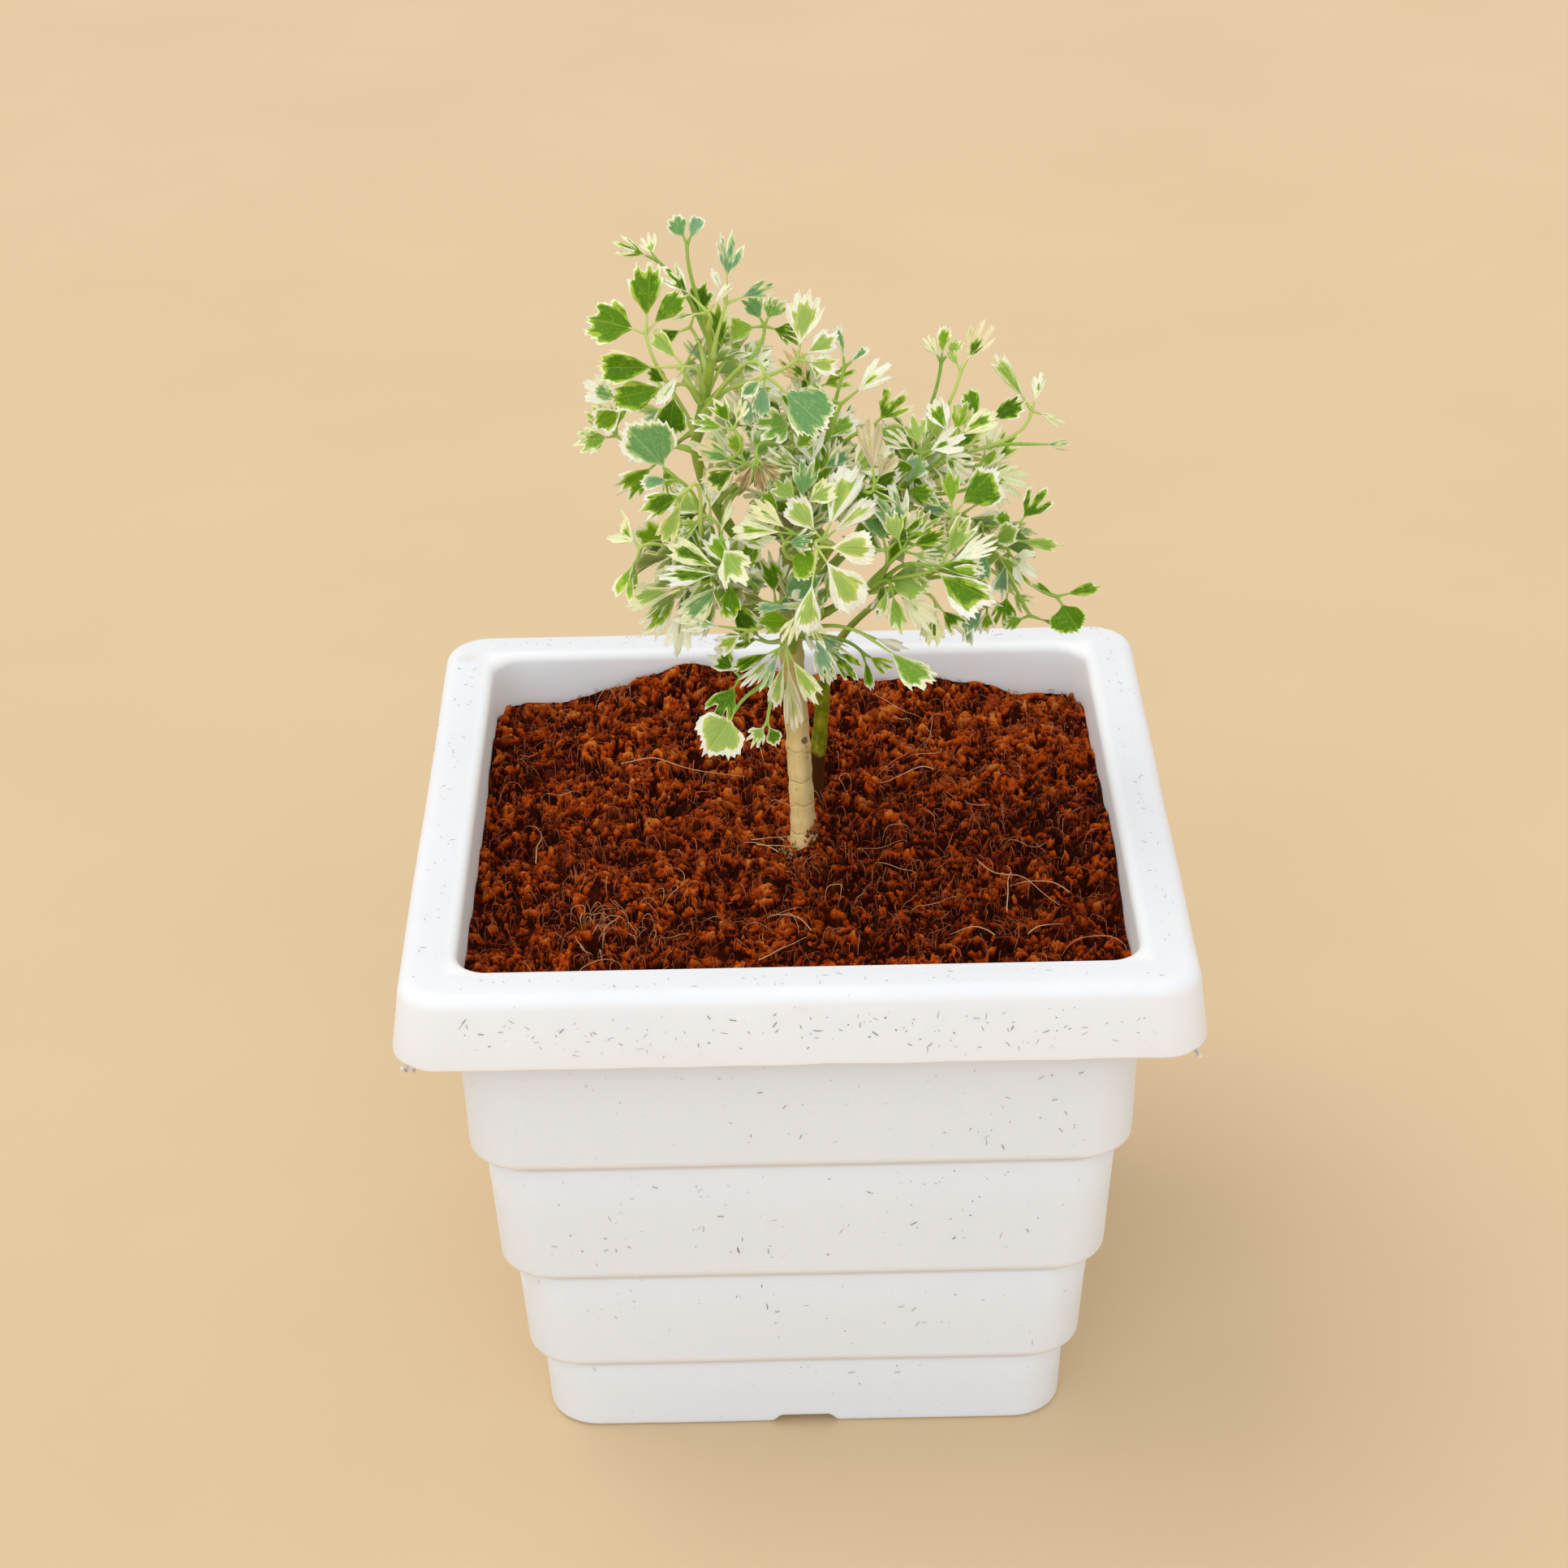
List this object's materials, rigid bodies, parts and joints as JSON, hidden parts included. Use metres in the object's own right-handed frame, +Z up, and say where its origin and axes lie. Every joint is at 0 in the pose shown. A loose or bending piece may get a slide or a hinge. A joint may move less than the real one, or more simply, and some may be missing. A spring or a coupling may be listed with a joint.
{
  "type": "potted plant",
  "caption": "Small variegated aralia with a woody stem, growing in coir in a square white plastic planter with stepped sides and a wide turned-down rim.",
  "frame": {"origin": "middle of the planter's foot, on the surface it stands on", "axes": "+Z up along the height, -Y towards the side that the viewer sees, +X to the viewer's right"},
  "size_m": [0.152, 0.152, 0.2399],
  "materials": {
    "pot_plastic": "satin moulded white with sparse dark flecks",
    "coir": "loose crumbly coconut fibre, reddish brown",
    "bark": "pale matte bark with faint rings",
    "green_stem": "smooth green stem and variegated leaves, satin",
    "foliage": "thin leaves, green with cream toothed margins, satin"
  },
  "bodies": {
    "root": {"pot": "pot_plastic", "coir": "coir", "trunk": "bark", "second_stem": "green_stem", "shoot_upper_left": "foliage", "shoot_top": "foliage", "shoot_right": "foliage", "shoot_right_front": "foliage", "shoot_front": "foliage", "shoot_left": "foliage", "shoot_low": "foliage", "shoot_low_left": "foliage", "shoot_back": "foliage"}
  },
  "joints": []
}
